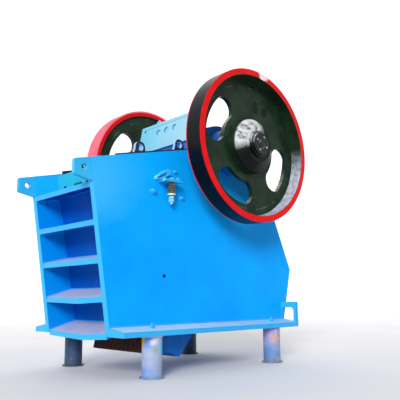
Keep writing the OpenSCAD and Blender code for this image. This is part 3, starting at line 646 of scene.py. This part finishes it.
welds = bmesh.new()
fillets = bmesh.new()
for rib_z, slope in RIBS:
    rise = math.tan(math.radians(slope))
    for up, z in ((-1, rib_z), (1, rib_z + RIB_T)):
        if up == -1 and rib_z < 0:  # under the lowest rib there is no bay
            continue
        front = -z * FRONT_LEAN
        back = (WALL_Y - WALL_LEAN * (z - front * rise)) / (1 + WALL_LEAN * rise)
        back_z = z + (back - front) * rise
        face = (0, -up * rise, up)
        for side in (-1, 1):
            a, b = P(side * PLATE_IN, front + 2, z + 2 * rise), P(side * PLATE_IN, back, back_z)
            if up == -1:
                bead(fillets, a, b, (-side, 0, 0), face, 30, hollow=True)
            else:
                bead(welds, a, b, (-side, 0, 0), face, 10)
        bead(welds, P(-PLATE_IN, back, back_z), P(PLATE_IN, back, back_z), wall_normal, face, 10)
for side in (-1, 1):
    inner, outer = side * PLATE_IN, side * PLATE_OUT
    bead(welds, P(outer, 0, FLANGE_RISE), P(outer, BASE_LEN, FLANGE_RISE), (side, 0, 0),
         (side * FLANGE_RISE, 0, FLANGE_W), 11)
    bead(welds, *(on_wall(inner, z) for z in PANEL_WELD), (-side, 0, 0), wall_normal, 10)
    bead(welds, *(P(outer, GUSSET_Y, z) for z in GUSSET_WELD), (side, 0, 0), FRONT, 9)
    for x, out in LUG_FACES:
        bead(welds, *(on_front(side * x, z) for z in LUG_WELD), (side * out, 0, 0), front_normal, 9)
    for z, up in BRACKET_FACES:
        bead(welds, *(P(outer, y, z) for y in BRACKET_YS), (side, 0, 0), (0, 0, up), 8)
piece("weld_beads", welds, azure, "frame", 50)
piece("corner_fillets", fillets, azure, "frame", 50)

# Single bolts on the side plates: y, z, head radius, washer radius or 0, turn
SIDE_BOLTS = ((885, 1817, 26, 0, 0.2), (943, 1733, 26, 34, 0.5), (559, 1546, 34, 46, 0.1),
              (990, 1513, 28, 34, 0.7))
LEG_BOLT_Z = 21.5  # the sloping flange's top over the middle of a leg
bolts = bmesh.new()
for side in (-1, 1):
    for y, z, r, washer, turn in SIDE_BOLTS:
        bolt(bolts, P(side * PLATE_OUT, y, z), (side, 0, 0), r, 0.75 * r, washer, 1.25 * r, turn)
    for y in LEG_YS:
        bolt(bolts, P(side * LEG_X, y, LEG_BOLT_Z), (side * 0.153, 0, 0.988), 24, 24, washer=30,
             stud=52)
piece("side_bolts", bolts, pale_bolt, "frame")

WALL_BOLT_XS = (-440, -194, -132, -74, 66)
WALL_BOLT_Z = 1698
wall_bolts = bmesh.new()
for x in WALL_BOLT_XS:
    bolt(wall_bolts, on_wall(x, WALL_BOLT_Z), wall_normal, 15, 12, washer=19, turn=0.3 + x)
piece("wall_bolts", wall_bolts, dark_steel, "frame")

COVER_X = 886
COVER_BOLTS, COVER_BOLT_R = 10, 218
FOOT_BOLT_XS = (632, 668)
FOOT_BOLT_OUT = 320
FOOT_UP = 60
cover_bolts = bmesh.new()
for side in (-1, 1):
    for k in range(COVER_BOLTS):
        a = 2 * math.pi * (k + 0.5) / COVER_BOLTS
        at = P(side * COVER_X, SHAFT_Y + COVER_BOLT_R * math.cos(a),
               SHAFT_Z + COVER_BOLT_R * math.sin(a))
        bolt(cover_bolts, at, (side, 0, 0), 16, 14, washer=20, turn=k)
    for y in (SHAFT_Y - FOOT_BOLT_OUT, SHAFT_Y + FOOT_BOLT_OUT):
        for x in FOOT_BOLT_XS:
            bolt(cover_bolts, P(side * x, y, SHAFT_Z + FOOT_UP), UP, 15, 16, stud=22, turn=x)
piece("bearing_bolts", cover_bolts, steel, "frame")

# The hub cap as (radius, distance from the middle plane), from its foot to its centre
CAP_PROFILE = (
    (162, 1234), (162, 1259), (159, 1262), (142, 1262), (140, 1264), (140, 1285), (136, 1289),
    (60, 1289), (57, 1286), (44, 1286), (41, 1291), (38, 1292))
CAP_FACE = 1289
CAP_BOLT_R = 92
hub_bolts = bmesh.new()
for side, word in SIDES:
    cap = bmesh.new()
    outward = Matrix.Rotation(side * math.pi / 2, 4, "Y")
    turned(cap, Matrix.Translation(P(0, SHAFT_Y, SHAFT_Z)) @ outward @ Matrix.Scale(0.001, 4),
           CAP_PROFILE, 96)
    cap = piece("shaft_cap_" + word, cap, cap_paint, "flywheel_set")
    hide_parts("hub_cap_" + word)
    for k in range(4):
        a = math.radians(65 + 90 * k)
        at = P(side * CAP_FACE, SHAFT_Y + CAP_BOLT_R * math.cos(a),
               SHAFT_Z + CAP_BOLT_R * math.sin(a))
        bolt(hub_bolts, at, (side, 0, 0), 15, 10, turn=k)
piece("hub_bolts", hub_bolts, bright, "flywheel_set")


def spring(name, x, y, low, high, mean_r, wire_r, turns):
    """A round-wire coil spring with closed ends."""
    end_turns, steps, sides = 0.85, 26, 12
    bm = bmesh.new()
    travel = high - low - 2 * wire_r
    closed = 2.05 * wire_r * end_turns
    up = Vector((0, 0, 1))
    loops = []
    for i in range(int(turns * steps) + 1):
        turn = i / steps
        if turn < end_turns:
            h = closed * turn / end_turns
        elif turn > turns - end_turns:
            h = travel - closed * (turns - turn) / end_turns
        else:
            h = closed + (travel - 2 * closed) * (turn - end_turns) / (turns - 2 * end_turns)
        a = 2 * math.pi * turn
        centre = Vector((mean_r * math.cos(a), mean_r * math.sin(a), h + wire_r))
        out = Vector((math.cos(a), math.sin(a), 0))
        ring = []
        for k in range(sides):
            b = 2 * math.pi * k / sides
            point = centre + wire_r * (math.cos(b) * out + math.sin(b) * up)
            ring.append(bm.verts.new(P(x, y, low) + point / 1000))
        loops.append(ring)
    skin(bm, loops)
    return piece(name, bm, spring_steel, "frame", 60)


SPRING_X, SPRING_Y = 760, 776
for side, word in SIDES:
    coil = spring("coil_spring_" + word, side * SPRING_X, SPRING_Y, low=1532, high=1660,
                  mean_r=44, wire_r=5.6, turns=6.3)
    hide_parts("cheek_spring_" + word)


# Stage, light and camera, in metres. The camera is solved from the photo.

AZIMUTH = math.radians(47.13)
PITCH = math.radians(9.78)
ROLL = math.radians(-0.585)
LENS = 49.99
CAMERA_AT = P(5648.4, -3309.4, 357.5)
FLOOR_HALF = 30
FLOOR_Z = -0.002
WALL_FAR, WALL_HALF, WALL_LOW, WALL_HIGH = 14.0, 40, -0.01, 25
SUN_WAY = (0.8, -1.0, 0.5)
SUN_ENERGY = 2.95
SUN_ANGLE = math.radians(20)
SKY_LOW = 0.3      # strength of the sky's light at the horizon
SKY_HIGH = 0.56    # and overhead
BACKGROUND = 0.93  # strength of the background that is seen


def plane(name, verts, mat):
    me = bpy.data.meshes.new(name)
    me.from_pydata(verts, [], [tuple(range(len(verts)))])
    me.materials.append(mat)
    o = bpy.data.objects.new(name, me)
    bpy.context.scene.collection.objects.link(o)
    return o


ahead = Vector((-math.sin(AZIMUTH), math.cos(AZIMUTH), 0))
right = Vector((math.cos(AZIMUTH), math.sin(AZIMUTH), 0))
corners = ((-1, -1), (1, -1), (1, 1), (-1, 1))
plane("floor", [(FLOOR_HALF * x, FLOOR_HALF * y, FLOOR_Z) for x, y in corners], floor_mat)
wall_z = {-1: WALL_LOW, 1: WALL_HIGH}
plane("backdrop", [ahead * WALL_FAR + right * WALL_HALF * x + Vector((0, 0, wall_z[end]))
                   for x, end in corners], wall_mat)

world = bpy.data.worlds.new("soft studio")
bpy.context.scene.world = world
world.use_nodes = True
sky = world.node_tree.nodes
link = world.node_tree.links.new
sky["Background"].inputs["Color"].default_value = (0.95, 0.97, 1.0, 1)
way = sky.new("ShaderNodeSeparateXYZ")
link(sky.new("ShaderNodeTexCoord").outputs["Generated"], way.inputs[0])
light = sky.new("ShaderNodeMapRange")
for key, value in (("From Min", 0.0), ("From Max", 1.0), ("To Min", SKY_LOW), ("To Max", SKY_HIGH)):
    light.inputs[key].default_value = value
link(way.outputs["Z"], light.inputs["Value"])
ray = sky.new("ShaderNodeLightPath").outputs
seen = ray["Is Camera Ray"]
for kind in ("Is Glossy Ray", "Is Transmission Ray"):
    either = sky.new("ShaderNodeMath")
    either.operation = "MAXIMUM"
    link(seen, either.inputs[0])
    link(ray[kind], either.inputs[1])
    seen = either.outputs[0]
strength = sky.new("ShaderNodeMix")
strength.inputs[3].default_value = BACKGROUND
link(seen, strength.inputs[0])
link(light.outputs["Result"], strength.inputs[2])
link(strength.outputs[0], sky["Background"].inputs["Strength"])

sun = bpy.data.lights.new("key", "SUN")
sun.energy = SUN_ENERGY
sun.angle = SUN_ANGLE
sun_o = bpy.data.objects.new("key", sun)
bpy.context.scene.collection.objects.link(sun_o)
sun_o.rotation_euler = Vector(SUN_WAY).to_track_quat("Z", "Y").to_euler()

cam = bpy.data.cameras.new("camera")
cam.sensor_width = 36
cam.lens = LENS
cam_o = bpy.data.objects.new("camera", cam)
bpy.context.scene.collection.objects.link(cam_o)
bpy.context.scene.camera = cam_o
forward = ahead * math.cos(PITCH) + Vector((0, 0, math.sin(PITCH)))
level_up = right.cross(forward)
cam_x = right * math.cos(ROLL) + level_up * math.sin(ROLL)
cam_y = level_up * math.cos(ROLL) - right * math.sin(ROLL)
turn_to = Matrix((cam_x, cam_y, -forward)).transposed()
cam_o.matrix_world = Matrix.Translation(CAMERA_AT) @ turn_to.to_4x4()

bpy.context.scene.view_settings.view_transform = "Standard"
